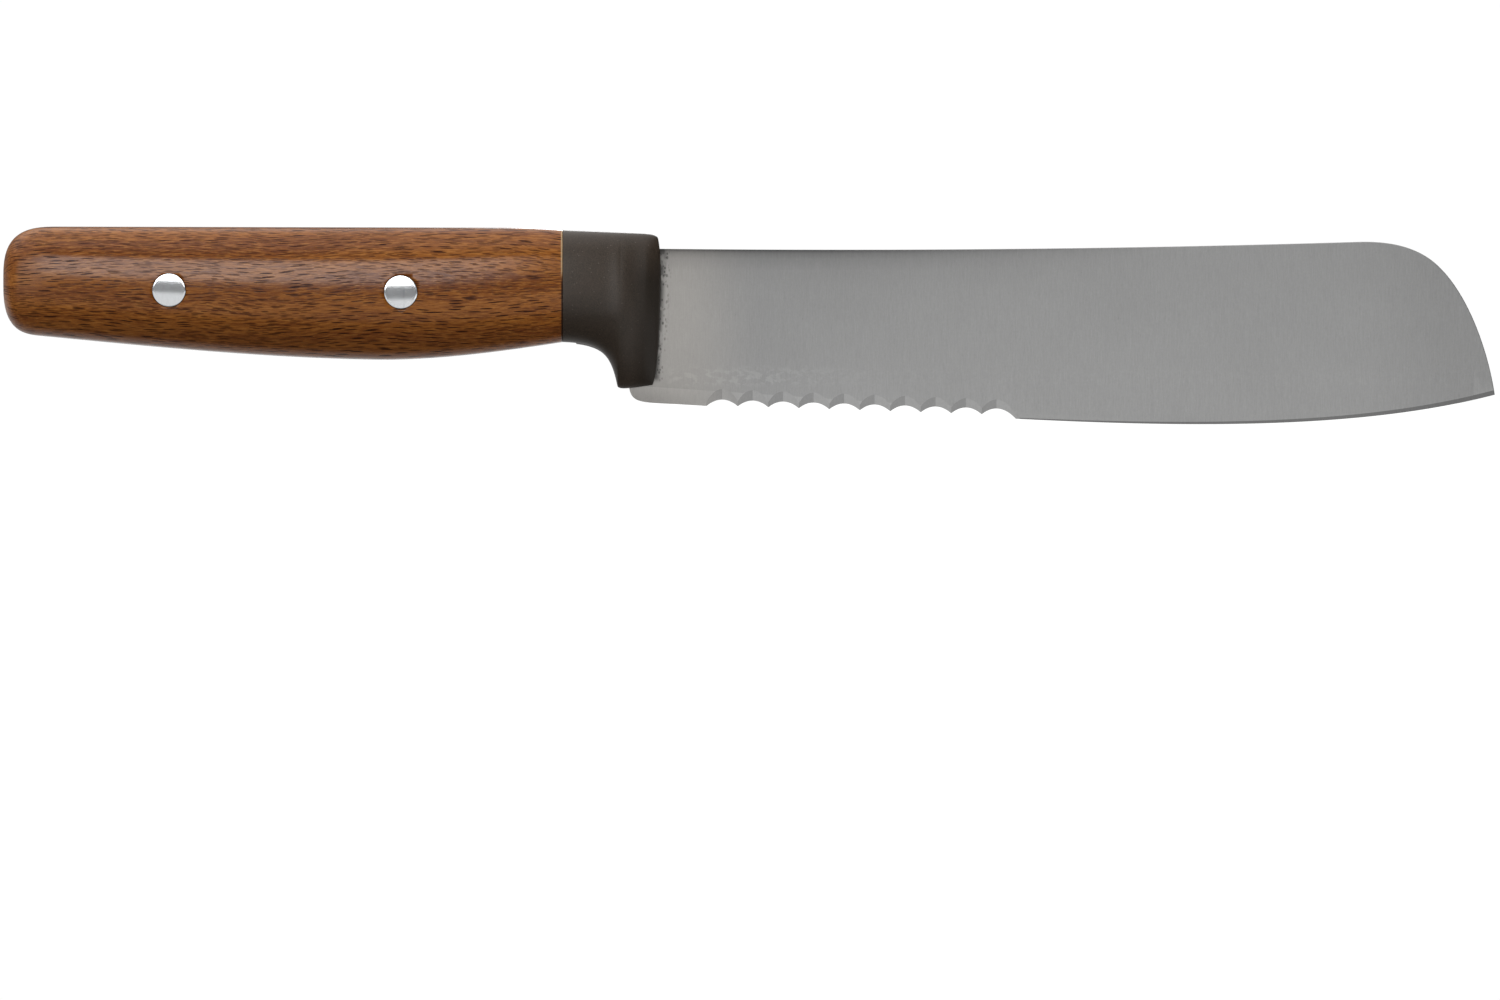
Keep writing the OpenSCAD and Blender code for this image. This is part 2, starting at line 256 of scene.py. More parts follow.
def section_parts(steps):
    """Unit superellipse from the top edge round to the underside: how far out, and how far up."""
    angle = np.radians(np.linspace(90, -90, steps + 1))
    out = np.abs(np.cos(angle)) ** (2 / SQUARENESS)
    up = np.sign(np.sin(angle)) * np.abs(np.sin(angle)) ** (2 / SQUARENESS)
    return out, up


# The bolster's underside: the finger curve, then the finger guard's end
FINGER_CURVE = [(HANDLE_LEN, -NECK_DEPTH), (HANDLE_LEN + 8, -NECK_DEPTH - 0.3),
                (BOLSTER_X - 10.8, -NECK_DEPTH - 2), (BOLSTER_X - 9.3, -GUARD_DEPTH + 0.6)]
GUARD_END = [(BOLSTER_X - 9.3, -GUARD_DEPTH + 0.6), (BOLSTER_X - 9, -GUARD_DEPTH - 0.3),
             (BOLSTER_X - 7, -GUARD_DEPTH), (BOLSTER_X - 1.8, -GUARD_DEPTH + 0.8)]
# The blade's outline, over the spine to the tip, and back along the belly
SPINE_CURVE = [(BOLSTER_X, 0), (BOLSTER_X + 0.27 * BLADE_LEN, -0.5),
               (BOLSTER_X + 0.54 * BLADE_LEN, -0.1), (TIP_X - 29.5, CROWN)]
TIP_SHOULDER = (TIP_X - 11.8, CROWN - 5.55)
NOSE_CURVE = [(TIP_X - 29.5, CROWN), (TIP_X - 22, CROWN + 0.25), (TIP_X - 16, CROWN - 1.25), TIP_SHOULDER]
TIP_CURVE = [TIP_SHOULDER, (TIP_SHOULDER[0] + 6.4, TIP_SHOULDER[1] - 6.35),
             (TIP_X - 1.4, -TIP_DEPTH + 9.1), (TIP_X, -TIP_DEPTH)]
BELLY_CURVE = [PLAIN_START, (PLAIN_START[0] + 38, -BELLY_DEPTH + 0.1),
               (TIP_X - 28, -BELLY_DEPTH - 0.1), (TIP_X, -TIP_DEPTH)]
# The steel's rear edge inside the bolster, and the heel below it
HIDDEN_CURVE = [(HANDLE_LEN, -NECK_DEPTH + STEEL_COVER), (BOLSTER_X - 11, -NECK_DEPTH + STEEL_COVER),
                (BOLSTER_X - 8.2, -NECK_DEPTH - 3), (BOLSTER_X - 6.9, -29)]
HEEL_CURVE = [(BOLSTER_X - 6.6, -30.6), (BOLSTER_X - 5.8, -32.8),
              (BOLSTER_X - 4.5, -33.0), (BOLSTER_X + 3, -33.3)]

# Steps of the curves in which the outline's heights are looked up
FINE = 300
SPINE, NOSE, TIP = path(SPINE_CURVE, FINE), path(NOSE_CURVE, FINE), path(TIP_CURVE, FINE)
HIDDEN, HEEL, BELLY = path(HIDDEN_CURVE, FINE), path(HEEL_CURVE, FINE), path(BELLY_CURVE, FINE)
BLADE_TOP = np.vstack([[(HANDLE_LEN, 0)], SPINE, NOSE, TIP])
BLADE_LOW = np.vstack([HIDDEN, HEEL, [SERRATION_START], BELLY])


# ---------------------------------------------------------------- meshes


def piece_from(name, bm):
    """An object of a finished bmesh, whose vertices are in drawn millimetres."""
    bmesh.ops.recalc_face_normals(bm, faces=bm.faces)
    for vert in bm.verts:
        vert.co = placed(vert.co)
    for face in bm.faces:
        face.smooth = True
    mesh = bpy.data.meshes.new(name)
    bm.to_mesh(mesh)
    bm.free()
    piece = bpy.data.objects.new(name, mesh)
    bpy.context.scene.collection.objects.link(piece)
    return piece


def mark_sharp(bm, degrees):
    """Marks the edges that turn by more than an angle, so that smooth shading stops there."""
    limit = math.radians(degrees)
    for edge in bm.edges:
        if len(edge.link_faces) == 2 and edge.calc_face_angle() > limit:
            edge.smooth = False


def ring_mesh(rings, cap_first=True, cap_last=True):
    """A bmesh whose skin joins closed rings of points, with its vertices as a table."""
    bm = bmesh.new()
    verts = [[bm.verts.new(point) for point in ring] for ring in rings]
    count = len(rings[0])
    for here, there in zip(verts, verts[1:]):
        for j in range(count):
            k = (j + 1) % count
            bm.faces.new((here[j], here[k], there[k], there[j]))
    if cap_first:
        bm.faces.new(verts[0][::-1])
    if cap_last:
        bm.faces.new(verts[-1])
    return bm, verts


def cut(piece, *cutters):
    """Cuts other objects out of a piece and keeps the result as its mesh."""
    for cutter in cutters:
        modifier = piece.modifiers.new("cut", "BOOLEAN")
        modifier.operation = "DIFFERENCE"
        modifier.solver = "EXACT"
        modifier.object = cutter
    graph = bpy.context.evaluated_depsgraph_get()
    graph.update()
    result = bpy.data.meshes.new_from_object(piece.evaluated_get(graph))
    piece.modifiers.clear()
    piece.data = result


def discard(*objects):
    """Deletes objects that were only needed for cutting."""
    for item in objects:
        bpy.data.objects.remove(item)


# Steps round a bore, a rivet or the floor
ROUND_STEPS = 96


def cross_pin(x, z, radius, y0, y1):
    """A round cutter across the knife, at drawn x, z, from y0 to y1."""
    turn = np.linspace(0, 2 * math.pi, ROUND_STEPS, endpoint=False)
    ring = np.stack([x + radius * np.cos(turn), 0 * turn, z + radius * np.sin(turn)], 1)
    bm, _ = ring_mesh([ring + (0, y0, 0), ring + (0, y1, 0)])
    return piece_from("cutter", bm)


# ---------------------------------------------------------------- blade


def blade_top(x):
    """The steel's upper outline, from the butt to the tip."""
    return np.where(x < HANDLE_LEN, handle_top(x), np.interp(x, BLADE_TOP[:, 0], BLADE_TOP[:, 1]))


def plain_low(x):
    """The steel's lower outline, before the scallops are ground."""
    return np.where(x < HANDLE_LEN, handle_low(x), np.interp(x, BLADE_LOW[:, 0], BLADE_LOW[:, 1]))


def bevel_half(x, z):
    """Half the steel's thickness on the edge bevel."""
    return EDGE_HALF + BEVEL * ((z - PLAIN_START[1]) + BEVEL_RUN * (x - PLAIN_START[0]))


def grind_half(z):
    """Half the steel's thickness on the main grind."""
    return HALF_STOCK - GRIND * (CROWN - z)


def steel_half(x, z):
    """Half the steel's thickness: full in the handle and under the bolster, and ground beyond."""
    return np.where(x < PLUNGE_X, HALF_STOCK, np.minimum(bevel_half(x, z), grind_half(z)))


def bevel_line(x):
    """Height at which the edge bevel meets the main grind."""
    level = PLAIN_START[1] - BEVEL_RUN * (x - PLAIN_START[0])
    return (HALF_STOCK - GRIND * CROWN - EDGE_HALF + BEVEL * level) / (BEVEL - GRIND)


# The scallops' deepest points, and the sharp ridges between them
valley_x = FIRST_VALLEY[0] + SCALLOP_PITCH * np.arange(SCALLOPS)
valley_z = FIRST_VALLEY[1] - VALLEY_FALL * SCALLOP_PITCH * np.arange(SCALLOPS)
valley_level = bevel_half(valley_x, valley_z) + valley_z * math.tan(SCALLOP_ANGLE)
ridge_x = ((valley_x[:-1] + valley_x[1:]) / 2
           + (valley_level[:-1] - valley_level[1:]) * SCALLOP_R * math.cos(SCALLOP_ANGLE) / SCALLOP_PITCH)


def scallop_floor(x):
    """How far across the scallops' floors, which all slope alike, would be at z = 0."""
    away = np.minimum(np.abs(np.asarray(x)[:, None] - valley_x), SCALLOP_R)
    drop = SCALLOP_R - np.sqrt(SCALLOP_R**2 - away**2)
    return (valley_level - drop / math.cos(SCALLOP_ANGLE)).max(1)


# How many steps the skin has along each curve, and along half a scallop
CURVE_STEPS = ((HIDDEN_CURVE, 20), (HEEL_CURVE, 24), (SPINE_CURVE, 60),
               (NOSE_CURVE, 36), (TIP_CURVE, 60), (BELLY_CURVE, 40))
HALF_SCALLOP_STEPS = 12
TANG_STATIONS = 60
# Stations crowd towards the butt by this power, and closer ones than CLOSEST are left out
TANG_CROWDING = 1.6
SERRATION_END_STEP = 0.1
CLOSEST = 0.006


def blade_columns():
    """Places along the steel where its skin has a row of points."""
    stations = HANDLE_LEN * np.linspace(0, 1, TANG_STATIONS) ** TANG_CROWDING
    stations[0] = HAIR
    stations[-1] = HANDLE_LEN - HAIR
    curves = [path(curve, steps)[:, 0] for curve, steps in CURVE_STEPS]
    ends = [valley_x[0] - SCALLOP_PITCH / 2, *ridge_x, valley_x[-1] + SCALLOP_PITCH / 2]
    spans = [*zip(ends, valley_x), *zip(valley_x, ends[1:])]
    halves = [np.linspace(a, b, HALF_SCALLOP_STEPS + 1) for a, b in spans]
    outer = ((SERRATION_START[0], ends[0]), (ends[-1], PLAIN_START[0]))
    near_ends = [np.arange(a, b, SERRATION_END_STEP) for a, b in outer]
    jumps = [HANDLE_LEN, PLUNGE_X - HAIR, PLUNGE_X]
    every = np.unique(np.round(np.concatenate([stations, *curves, *halves, *near_ends, jumps]), 4))
    kept = np.concatenate([[True], np.diff(every) > CLOSEST])
    return every[kept]


# Rows of the skin, from the edge up: the strip between one row and the next has its number.
# The rows after BEVEL_ROW lie at depths below the spine, for the shading there
EDGE_ROW, CREASE_ROW, BEVEL_ROW = 0, 1, 2
SHADED_DEPTHS = (16, 9, 4.5, 2, 0.8)
SHOULDER_ROW = BEVEL_ROW + len(SHADED_DEPTHS) + 1
TOP_ROW = SHOULDER_ROW + 2
# The middle point of a quarter round is this part of its radius in from both flats
ARC_MIDDLE = 0.29
# The spine's rounding takes no more than this part of the steel's height
MOST_ROUNDED = 0.4


def blade_rows(x):
    """Heights and half thicknesses of the skin's rows on the near and far side, from the edge up."""
    top, plain = blade_top(x), plain_low(x)
    slope = np.gradient(top, x)
    tilt = math.tan(SCALLOP_ANGLE)
    ground = (x > SERRATION_START[0]) & (x < PLAIN_START[0])
    floor = np.where(ground, scallop_floor(x), -np.inf)
    run = BEVEL * BEVEL_RUN * (x - PLAIN_START[0]) - BEVEL * PLAIN_START[1] + EDGE_HALF
    # A scallop's floor meets the far side's bevel at the edge, and the near side at the arch
    edge = np.maximum(plain, (floor - run) / (tilt + BEVEL))
    on_grind = (floor + HALF_STOCK - GRIND * CROWN) / (tilt - GRIND)
    arch = np.minimum((floor + run) / (tilt - BEVEL), on_grind)

    # The honed facet widens along the plain edge
    part = np.interp(x, BELLY[:, 0], np.linspace(0, 1, FINE + 1))
    fall = np.gradient(edge, x)
    honed = x >= PLAIN_START[0]
    facet = lerp(HONE_START, HONE_TIP, part) * np.sqrt(1 + np.clip(fall, -1, 1) ** 2)
    hone = np.where(honed, edge + facet, edge)

    rounding = np.where(x < HANDLE_LEN, HAIR, SPINE_ROUND)
    drop = np.minimum(rounding * np.sqrt(1 + slope**2), (top - edge) * MOST_ROUNDED)
    shoulder = top - drop
    sides = []
    for crease in (np.maximum(arch, hone), hone):
        crease = np.clip(crease, edge, shoulder)
        rows = [edge, crease, np.clip(bevel_line(x), crease, shoulder)]
        rows[BEVEL_ROW] = np.where(x < PLUNGE_X, rows[CREASE_ROW], rows[BEVEL_ROW])
        for below in SHADED_DEPTHS:
            rows.append(np.clip(top - below, rows[BEVEL_ROW], shoulder))
        rows += [shoulder, top - ARC_MIDDLE * drop, top]
        half = [steel_half(x, z) for z in rows]
        half[TOP_ROW - 1] = half[SHOULDER_ROW] - ARC_MIDDLE * rounding
        half[TOP_ROW] = half[SHOULDER_ROW] - rounding
        half[EDGE_ROW] = np.where(honed, EDGE_HALF / 2, half[EDGE_ROW])
        sides.append((rows, half))
    # Where a scallop is ground through, the near side's edge is the far side's
    near_half = sides[0][1]
    near_half[EDGE_ROW] = np.where(edge > plain, -near_half[EDGE_ROW], near_half[EDGE_ROW])
    return sides


# Painted light and shade of the steel, where 1 is the main grind's own: the tang and the spine's
# flat, the plain side of the serration, a scallop on each side of its middle, and the honed facet
HIDDEN_TONE = 0.85
FAR_TONE = 1.1
SCALLOP_TONES = (0.80, 1.04)
HONE_TONE = 0.52
# How much painted light brightens the edge bevel at the heel and along the serration
HEEL_GAIN = 0.18
LAND_GAIN = 0.13
LAND_FADE = 9
# Painted shade darkens the grind towards the spine: how much, and within what depth. It fades out by
# SHADE_END
SPINE_SHADES = ((0.42, 1.3), (0.22, 5), (0.25, 0.15))
SHADE_END = BOLSTER_X + 111
SHADE_FADE = 75
LEAST_TONE = 0.1


def steel_painted_light(row, x, z, scalloped):
    """Painted light and shade of the ground steel at a point of the skin between two rows."""
    if row == TOP_ROW or x < HANDLE_LEN:
        return HIDDEN_TONE
    if row == EDGE_ROW and x < PLAIN_START[0]:
        nearest = valley_x[np.abs(valley_x - x).argmin()]
        return SCALLOP_TONES[int(x >= nearest)] if scalloped else FAR_TONE
    if row == EDGE_ROW:
        return HONE_TONE
    if row == CREASE_ROW:
        heel = HEEL_GAIN * float(smooth_step(x, BOLSTER_X + 11, BOLSTER_X + 1))
        return 1 + heel + LAND_GAIN * float(np.clip((PLAIN_START[0] - x) / LAND_FADE, 0, 1))
    below = max(0.0, float(blade_top(x)) - z)
    strength = float(np.clip((SHADE_END - x) / SHADE_FADE, 0, 1))
    shade = sum(amount * math.exp(-below / depth) for amount, depth in SPINE_SHADES)
    return max(LEAST_TONE, 1 - strength * shade)


def make_blade():
    """Ground blade and full tang in one piece, as rings round its section at many columns."""
    x = blade_columns()
    (near_z, near_y), (far_z, far_y) = blade_rows(x)
    points = [np.stack([x, -h, z], 1) for z, h in zip(near_z, near_y)]
    points += [np.stack([x, h, z], 1) for z, h in zip(far_z[::-1], far_y[::-1])]
    # A ring goes up the near side and down the far side, and last is the number of its last point
    last = 2 * TOP_ROW + 1
    rings = np.stack(points, 1)
    rings[-1] = (TIP_X, 0, -TIP_DEPTH)
    bm, verts = ring_mesh(rings, cap_last=False)

    # Each corner of a face keeps the painted light and shade of the face's strip
    painted_light = bm.loops.layers.float.new("painted_light")
    for face in bm.faces:
        for loop in face.loops:
            loop[painted_light] = 1.0
    for c in range(len(x) - 1):
        middle = (x[c] + x[c + 1]) / 2
        for j in range(last):
            row = min(j, last - 1 - j)
            here, there = verts[c], verts[c + 1]
            face = bm.faces.get((here[j], here[j + 1], there[j + 1], there[j]))
            scalloped = j <= TOP_ROW
            for loop in face.loops:
                at = middle if row == EDGE_ROW else loop.vert.co.x
                loop[painted_light] = steel_painted_light(row, at, loop.vert.co.z, scalloped)

    for j in (EDGE_ROW, CREASE_ROW, BEVEL_ROW, SHOULDER_ROW, TOP_ROW):
        for k in (j, last - j):
            for here, there in zip(verts, verts[1:]):
                bm.edges.get((here[k], there[k])).smooth = False
    for c, place in enumerate(x):
        if np.abs(ridge_x - place).min() < HAIR / 2:
            bm.edges.get((verts[c][EDGE_ROW], verts[c][CREASE_ROW])).smooth = False
    bmesh.ops.remove_doubles(bm, verts=bm.verts, dist=MERGE)
    bmesh.ops.dissolve_degenerate(bm, edges=bm.edges, dist=MERGE / 10)
    return piece_from("steel_blade", bm)


# ---------------------------------------------------------------- bolster


BOLSTER_SECTION_STEPS = 44
BOLSTER_STEPS = 36
# More stations on the finger curve, by the seam and on both sides of the flash's start
EXTRA_STATIONS = (0.004, 0.128, 0.134)
# Stations crowd towards the front edge by this power
FRONT_CROWDING = 2.2
# The seam's chamfer spares the middle of the bolster's side
SEAM_SPARED = 0.2


def make_bolster(blade):
    """Moulded bolster with its finger guard, as rings from the wood to the rounded front edge."""
    out, up = section_parts(BOLSTER_SECTION_STEPS)
    t = np.linspace(0, 1, BOLSTER_STEPS + 1)
    finger = bezier(FINGER_CURVE, np.sort(np.concatenate([t, EXTRA_STATIONS])))
    guard = bezier(GUARD_END, 1 - (1 - t[1:]) ** FRONT_CROWDING)
    low = np.vstack([finger, guard])
    along = (low[:, 0] - HANDLE_LEN) / LOW_REACH
    top = np.stack([HANDLE_LEN + TOP_REACH * along,
                    TANG_SPINE - TOP_TAPER * along - CORNER_DROP * along**CORNER_POWER], 1)
    s = (1 - up) / 2
    bulge = FRONT_BULGE * np.maximum(0, 1 - np.abs(2 * s - 1) ** 3) ** 0.7
    round_from = 1 - FRONT_ROUND / BOLSTER_LEN
    rings = []
    for i, u in enumerate(along):
        x = lerp(top[i, 0], low[i, 0], s) + bulge * u**4
        z = lerp(top[i, 1], low[i, 1], s)
        ridge = RIDGE_RISE * math.exp(-((u - RIDGE_AT) / RIDGE_SPREAD) ** 2)
        body = lerp(NECK_W, FRONT_W, u**NARROWING) / 2 + ridge
        thin = 1 - GUARD_THINNING * min(1, 2 * u) * np.clip((-z - THIN_FROM) / THIN_OVER, 0, 1)
        nose = math.sqrt(max(0, 1 - (max(0, u - round_from) / (1 - round_from)) ** 2))
        half = lerp(HALF_STOCK + LIP, body * thin, nose)
        y = lerp(HALF_STOCK, half, out)
        if i == 0:
            z = z - np.sign(up) * SEAM * (np.abs(up) > SEAM_SPARED) * np.abs(up)
            y = y - SEAM * out
        flash = smooth_step(low[i, 0], *FLASH_START) * (1 - smooth_step(low[i, 0], *FLASH_FADE))
        z[-1] -= FLASH * float(flash)
        side = np.stack([x, y, z], 1)
        rings.append(np.vstack([side, (side * (1, -1, 1))[::-1]]))
    bm, verts = ring_mesh(rings, cap_last=False)
    front = verts[-1]
    count = len(front)
    for j in range(BOLSTER_SECTION_STEPS):
        bm.faces.new((front[j], front[j + 1], front[count - 2 - j], front[count - 1 - j]))
    bmesh.ops.remove_doubles(bm, verts=bm.verts, dist=MERGE)
    mark_sharp(bm, 40)
    bolster = piece_from("moulded_bolster", bm)
    cut(bolster, blade)
    return bolster


# ---------------------------------------------------------------- wood


SCALE_SECTION_STEPS = 56
SCALE_STATIONS = 130
SCALE_CROWDING = 1.5
# How far the shank's bore runs on into the head's
BORE_OVERLAP = 1


def make_scale(name, side, rivets):
    """Wooden scale on one side (-1 is right, 1 is left), bored for the rivets."""
    out, up = section_parts(SCALE_SECTION_STEPS)
    stations = HANDLE_LEN * np.linspace(0, 1, SCALE_STATIONS) ** SCALE_CROWDING
    stations[0] = HAIR
    stations = np.sort(np.append(stations, HANDLE_LEN - SEAM))
    rings = []
    for x in stations:
        # The last ring is smaller, which breaks the edge at the bolster
        last = SEAM if x == stations[-1] else 0
        top = float(handle_top(x)) - last
        low = float(handle_low(x)) + last
        half = float(handle_half(x)) - last
        y = lerp(HALF_STOCK, half, out)
        z = lerp(low, top, (1 + up) / 2)
        # The edges by the tang are broken too
        groove = min(SEAM, (top - low) / 8)
        z[0] -= groove
        z[-1] += groove
        rings.append(np.stack([0 * y + x, side * y, z], 1))
    bm, _ = ring_mesh(rings)
    bmesh.ops.remove_doubles(bm, verts=bm.verts, dist=MERGE)
    mark_sharp(bm, 42)
    scale = piece_from(name, bm)
    bores = []
    for x, z in rivets:
        head_x, head_z = x + BORE_SHIFT[0], z + BORE_SHIFT[1]
        shank_end = side * (HEAD_SEAT + BORE_OVERLAP)
        bores.append(cross_pin(x, z, TUBE_R + HEAD_GAP, 0, shank_end))
        bores.append(cross_pin(head_x, head_z, HEAD_R + HEAD_GAP, side * HEAD_SEAT, side * PALM_W))
    cut(scale, *bores)
    discard(*bores)
    return scale


# ---------------------------------------------------------------- rivets


# Radius of a head's innermost ring but one, and how many rings its face has
HEAD_MIDDLE = 0.3
HEAD_RINGS = 12
TUBE_CHAMFER = 0.1
STEM_CHAMFER = 0.3


def make_rivet(name, x, z, side, hollow):
    """Half a rivet: a flush head on one side, with a solid stem or a tube across the knife."""
    turn = np.linspace(0, 2 * math.pi, ROUND_STEPS, endpoint=False)
    circle = np.stack([np.cos(turn), np.sin(turn)], 1)

    def ring(radius, level=None, sunk=0.0):
        """A ring of points at a level, or on the wood's surface, less what it is sunk."""
        px, pz = x + radius * circle[:, 0], z + radius * circle[:, 1]
        y = handle_side(px, pz) - sunk if level is None else np.full(len(turn), level)
        return np.stack([px, side * y, pz], 1)

    face_edge = HEAD_R - RIM_ROUND
    rings = [ring(HAIR)] + [ring(r) for r in np.linspace(HEAD_MIDDLE, face_edge, HEAD_RINGS)]
    rings += [ring(HEAD_R - RIM_ROUND * (1 - math.sin(a)), sunk=RIM_ROUND * (1 - math.cos(a)))
              for a in np.radians([30, 60, 90])]
    rings.append(ring(HEAD_R, HEAD_SEAT))
    end = -HEAD_SEAT + SHANK_GAP
    if hollow:
        bore = STEM_R + STEM_GAP
        lead = TUBE_CHAMFER
        rings += [ring(TUBE_R, HEAD_SEAT), ring(TUBE_R, end + lead), ring(TUBE_R - lead, end),
                  ring(bore + lead, end), ring(bore, end + lead), ring(bore, HEAD_SEAT)]
    else:
        lead = STEM_CHAMFER
        rings += [ring(STEM_R, HEAD_SEAT), ring(STEM_R, end + lead), ring(STEM_R - lead, end)]
    bm, _ = ring_mesh(rings)
    mark_sharp(bm, 40)
    return piece_from(name, bm)


# ---------------------------------------------------------------- materials


class Nodes:
    """A node tree, built up from short calls that return the new node's output."""

    def __init__(self, tree):
        self.tree = tree

    def node(self, kind, **settings):
        """A new node with its settings. It is the one call that returns the node itself."""
        made = self.tree.nodes.new(kind)
        for name, value in settings.items():
            setattr(made, name, value)
        return made

    def link(self, source, target):
        """Joins an output to an input, or sets the input to a number, a vector or a colour."""
        if isinstance(source, (int, float)):
            target.default_value = source
        elif isinstance(source, (tuple, list)):
            room = len(target.default_value)
            target.default_value = (list(source) + [1.0])[:room]
        else:
            self.tree.links.new(source, target)

    def fill(self, made, *sources):
        """Gives a node its first inputs and returns its first output."""
        for socket, source in zip(made.inputs, sources):
            self.link(source, socket)
        return made.outputs[0]

    def axes(self, vector):
        made = self.node("ShaderNodeSeparateXYZ")
        self.link(vector, made.inputs[0])
        return made.outputs

    def math(self, operation, a, b=0.0):
        return self.fill(self.node("ShaderNodeMath", operation=operation), a, b)

    def add(self, a, b):
        return self.math("ADD", a, b)

    def times(self, a, b):
        return self.math("MULTIPLY", a, b)

    def step(self, value, start, end, low=0.0, high=1.0):
        """Smooth change from low to high as value goes from start to end."""
        made = self.node("ShaderNodeMapRange", interpolation_type="SMOOTHSTEP")
        return self.fill(made, value, start, end, low, high)

    def slope(self, value, start, end, low=0.0, high=1.0):
        """Even change from low to high as value goes from start to end."""
        made = self.node("ShaderNodeMapRange", interpolation_type="LINEAR")
        return self.fill(made, value, start, end, low, high)

    def ramp(self, value, stops):
        """A gradient of white light: stops are positions from 0 to 1, with the light there."""
        made = self.node("ShaderNodeValToRGB")
        elements = made.color_ramp.elements
        while len(elements) < len(stops):
            elements.new(0.5)
        for element, (position, light) in zip(elements, stops):
            element.position = position
            element.color = (light, light, light, 1)
        return self.fill(made, value)

    def mix(self, factor, a, b, blend="MIX"):
        """From colour a to b. The node's colours are its inputs 6 and 7 and its output 2."""
        made = self.node("ShaderNodeMix", data_type="RGBA", blend_type=blend)
        self.link(factor, made.inputs["Factor"])
        self.link(a, made.inputs[6])
        self.link(b, made.inputs[7])
        return made.outputs[2]

    def seen_by_camera(self, otherwise, seen):
        """A light level that is one thing to the camera and another to the knife."""
        rays = self.node("ShaderNodeLightPath")
        return self.mix(rays.outputs["Is Camera Ray"], otherwise, (seen, seen, seen))


class Shader(Nodes):
    """A material. Its coordinates are the drawing's millimetres."""

    def __init__(self, name):
        self.material = bpy.data.materials.new(name)
        self.material.use_nodes = True
        super().__init__(self.material.node_tree)
        self.surface = self.tree.nodes["Principled BSDF"]
        shared = self.node("ShaderNodeTexCoord").outputs["Object"]
        self.place = self.stretched((1 / MM,) * 3, [-c / MM for c in origin], shared)
        self.x, self.y, self.z = self.axes(self.place)

    def stretched(self, scale, offset=(0, 0, 0), source=None):
        """The coordinates, times a scale for each axis, plus an offset."""
        made = self.node("ShaderNodeVectorMath", operation="MULTIPLY_ADD")
        return self.fill(made, source or self.place, scale, offset)

    def noise(self, vector, detail=2.0, roughness=0.5):
        made = self.node("ShaderNodeTexNoise", noise_dimensions="3D")
        self.link(vector, made.inputs["Vector"])
        self.link(1.0, made.inputs["Scale"])
        self.link(detail, made.inputs["Detail"])
        self.link(roughness, made.inputs["Roughness"])
        return made.outputs["Fac"]

    def cells(self, vector, dimensions="3D"):
        """Distance to the nearest of many scattered points."""
        made = self.node("ShaderNodeTexVoronoi", feature="F1", voronoi_dimensions=dimensions)
        self.link(vector, made.inputs["Vector"])
        self.link(1.0, made.inputs["Scale"])
        return made.outputs["Distance"]

    def vector(self, x=0.0, y=0.0, z=0.0):
        return self.fill(self.node("ShaderNodeCombineXYZ"), x, y, z)

    def gray(self, level):
        return self.fill(self.node("ShaderNodeCombineColor"), level, level, level)

    def bump(self, height, depth_mm, strength=1.0):
        made = self.node("ShaderNodeBump")
        self.link(height, made.inputs["Height"])
        self.link(depth_mm * MM, made.inputs["Distance"])
        self.link(strength, made.inputs["Strength"])
        return made.outputs["Normal"]

    def finish(self, **inputs):
        """Sets inputs of the surface, named with _ for a space, and returns the material."""
        for name, value in inputs.items():
            self.link(value, self.surface.inputs[name.replace("_", " ")])
        return self.material


def linear(channel):
    """A channel from 0 to 255 on a screen, as linear light from 0 to 1."""
    c = channel / 255
    return ((c + 0.055) / 1.055) ** 2.4 if channel > 10 else c / 12.92


def srgb(red, green, blue):
    """A colour given as it looks on a screen, as linear light."""
    return linear(red), linear(green), linear(blue)


